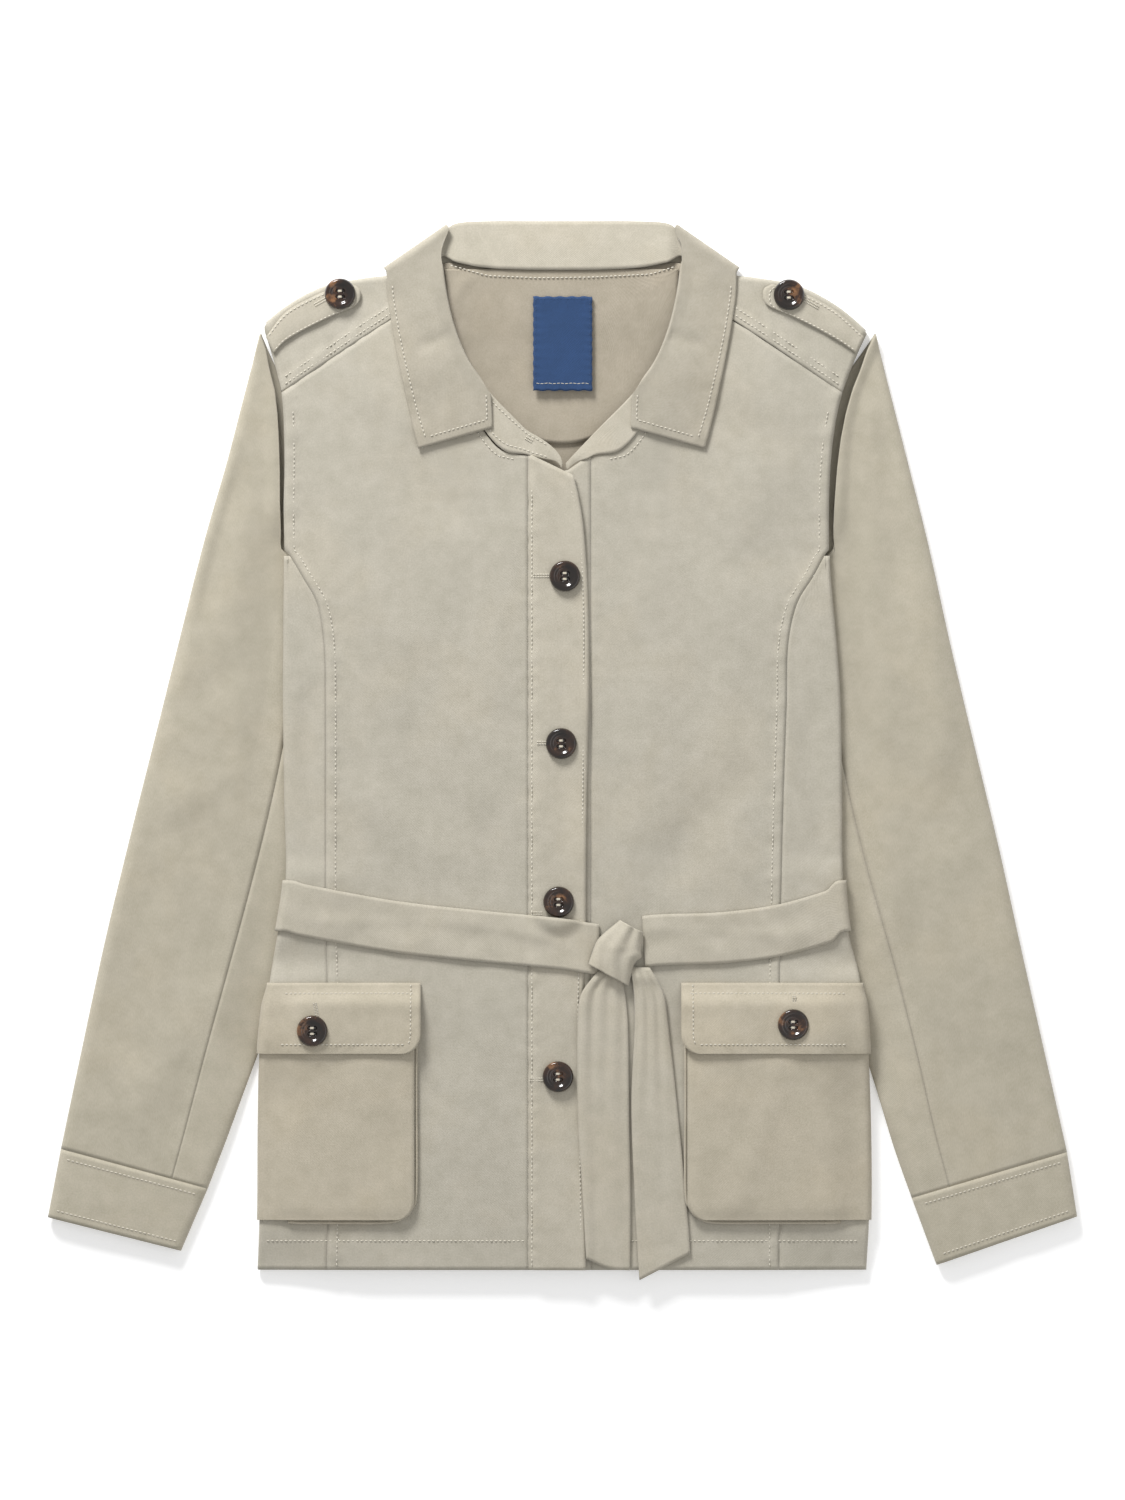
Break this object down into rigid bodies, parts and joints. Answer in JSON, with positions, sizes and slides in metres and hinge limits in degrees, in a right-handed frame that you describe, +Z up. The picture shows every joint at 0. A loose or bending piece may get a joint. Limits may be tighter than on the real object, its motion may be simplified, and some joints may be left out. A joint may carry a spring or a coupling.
{
  "type": "belted jacket",
  "caption": "Belted safari jacket in cotton twill laid flat on its back: shirt collar, epaulettes, bellows flap pockets and a knotted self belt.",
  "frame": {"origin": "middle of the underside, on the surface that the jacket lies on", "axes": "+X to the viewer's right across the fronts, +Y from the hem to the collar, +Z up off the surface through the fronts"},
  "size_m": [0.6686, 0.6876, 0.0241],
  "materials": {
    "twill": "washed beige cotton twill with tonal topstitching",
    "button": "polished dark tortoiseshell resin",
    "label": "bare blue woven tape"
  },
  "bodies": {
    "root": {"front_left": "twill", "side_panel_left": "twill", "yoke_left": "twill", "upper_sleeve_left": "twill", "under_sleeve_left": "twill", "cuff_left": "twill", "epaulette_left": "twill", "pocket_bag_left": "twill", "pocket_flap_left": "twill", "pocket_gusset_left": "twill", "front_right": "twill", "side_panel_right": "twill", "yoke_right": "twill", "upper_sleeve_right": "twill", "under_sleeve_right": "twill", "cuff_right": "twill", "epaulette_right": "twill", "pocket_bag_right": "twill", "pocket_flap_right": "twill", "pocket_gusset_right": "twill", "back_panel": "twill", "placket_over": "twill", "placket_under": "twill", "back_neck_facing": "twill", "neck_label": "label", "collar_stand": "twill", "collar_leaf": "twill", "belt_band": "twill", "belt_tail_left": "twill", "belt_tail_right": "twill", "belt_knot": "twill", "button_front_1": "button", "button_front_2": "button", "button_front_3": "button", "button_front_4": "button", "button_epaulette_left": "button", "button_epaulette_right": "button", "button_pocket_left": "button", "button_pocket_right": "button"}
  },
  "joints": []
}
